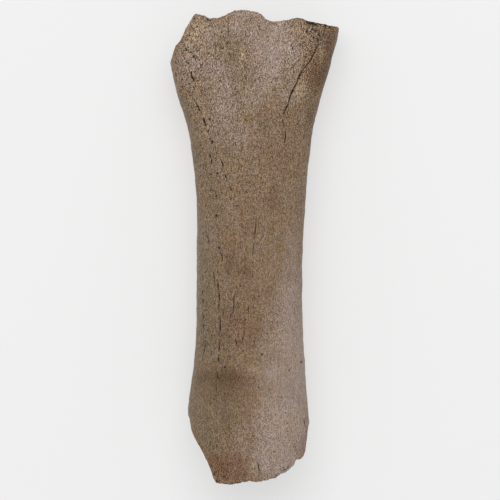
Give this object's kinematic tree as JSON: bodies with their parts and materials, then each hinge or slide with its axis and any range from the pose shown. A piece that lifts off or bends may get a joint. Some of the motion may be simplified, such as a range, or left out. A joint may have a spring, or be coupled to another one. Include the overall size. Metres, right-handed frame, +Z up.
{
  "type": "fossil mammoth femur",
  "caption": "Fossil mammoth thigh bone shaft with broken, spongy ends, lying on its back.",
  "frame": {"origin": "on the ground under the middle of the bone's box, as it lies on its back", "axes": "+Y along the shaft to the hip end, +Z up out of the bone's front, +X to its inner (medial) side"},
  "size_m": [0.1894, 0.5348, 0.1118],
  "materials": {
    "fossil_bone": "dull, porous, mineral stained"
  },
  "bodies": {
    "root": {"femur": "fossil_bone"}
  },
  "joints": []
}
